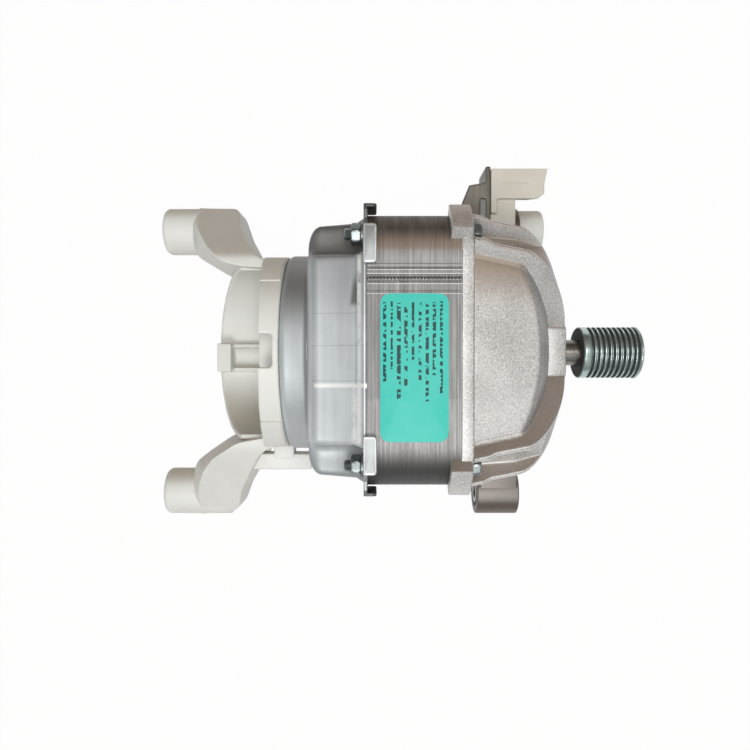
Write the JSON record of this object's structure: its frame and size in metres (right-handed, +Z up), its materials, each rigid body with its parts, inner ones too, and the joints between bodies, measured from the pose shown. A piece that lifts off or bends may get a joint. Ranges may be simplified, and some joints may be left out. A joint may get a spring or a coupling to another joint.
{
  "type": "washing machine motor",
  "caption": "Brushless belt-drive washing machine motor with a ribbed pulley, finned stack, cast front bell, pressed rear cover and moulded rear mounting bracket.",
  "frame": {"origin": "on the shaft axis, at the middle of the pulley's belt ribs", "axes": "+X along the shaft out through the pulley, +Z up when the motor lies on its four mounting tubes, +Y towards the side with the connector"},
  "size_m": [0.2335, 0.1744, 0.1177],
  "materials": {
    "cover_steel": "zinc-coated pressed steel, satin",
    "cast_aluminium": "as-cast, fine grain",
    "lamination_steel": "stacked laminations, varnished",
    "insulator_plastic": "moulded",
    "winding_wire": "enamelled wire, varnished",
    "magnet_ferrite": "ground ferrite",
    "ring_aluminium": "turned",
    "shaft_steel": "ground",
    "pulley_steel": "turned, zinc-plated",
    "seal_rubber": "moulded",
    "bearing_steel": "ground and polished",
    "bearing_shield": "moulded",
    "cage_brass": "pressed",
    "spring_steel": "hardened",
    "circuit_board": "solder mask",
    "sensor_black": "moulded",
    "fastener_zinc": "zinc-plated",
    "bracket_plastic": "moulded, off-white",
    "sleeve_steel": "rolled, zinc-plated",
    "plate_steel": "pressed, satin",
    "connector_plastic": "moulded, cream",
    "blade_brass": "tinned",
    "label_film": "printed film"
  },
  "bodies": {
    "housing": {"rear_cover": "cover_steel", "front_bell": "cast_aluminium", "stator_core": "lamination_steel", "front_insulator": "insulator_plastic", "rear_insulator": "insulator_plastic", "windings": "winding_wire", "bracket_cushion": "seal_rubber", "front_lug_bushes": "seal_rubber", "front_bearing_outer_ring": "bearing_steel", "rear_bearing_outer_ring": "bearing_steel", "front_bearing_shields": "bearing_shield", "rear_bearing_shields": "bearing_shield", "wave_washer": "spring_steel", "sensor_board": "circuit_board", "hall_sensors": "sensor_black", "tie_bolts": "fastener_zinc", "tie_nuts": "fastener_zinc", "nut_washers": "fastener_zinc", "bracket_screws": "fastener_zinc", "connector_screw": "fastener_zinc", "rear_bracket": "bracket_plastic", "bracket_arm_upper": "bracket_plastic", "bracket_arm_lower": "bracket_plastic", "upper_lug_spacer": "bracket_plastic", "rear_boss_sleeves": "sleeve_steel", "front_lug_sleeves": "sleeve_steel", "connector_bracket": "plate_steel", "connector_housing": "connector_plastic", "connector_blades": "blade_brass", "rating_label": "label_film"},
    "rotor": {"rotor_core": "lamination_steel", "rotor_magnets": "magnet_ferrite", "rotor_end_rings": "ring_aluminium", "shaft": "shaft_steel", "drive_pulley": "pulley_steel", "dust_seal": "seal_rubber", "front_bearing_inner_ring": "bearing_steel", "rear_bearing_inner_ring": "bearing_steel", "sensor_magnet": "magnet_ferrite"},
    "front_cage": {"front_bearing_balls": "bearing_steel", "front_bearing_cage": "cage_brass"},
    "rear_cage": {"rear_bearing_balls": "bearing_steel", "rear_bearing_cage": "cage_brass"}
  },
  "joints": [
    {"name": "rotor_spin", "type": "hinge", "parent": "housing", "child": "rotor", "pos_m": [0, 0, 0], "axis": [1, 0, 0], "continuous": true},
    {"name": "front_cage_spin", "type": "hinge", "parent": "housing", "child": "front_cage", "pos_m": [-0.03453, 0, 0], "axis": [1, 0, 0], "continuous": true},
    {"name": "rear_cage_spin", "type": "hinge", "parent": "housing", "child": "rear_cage", "pos_m": [-0.15233, 0, 0], "axis": [1, 0, 0], "continuous": true}
  ],
  "couplings": [
    {"joint": "front_cage_spin", "follows": "rotor_spin", "ratio": 0.381},
    {"joint": "rear_cage_spin", "follows": "rotor_spin", "ratio": 0.381}
  ]
}
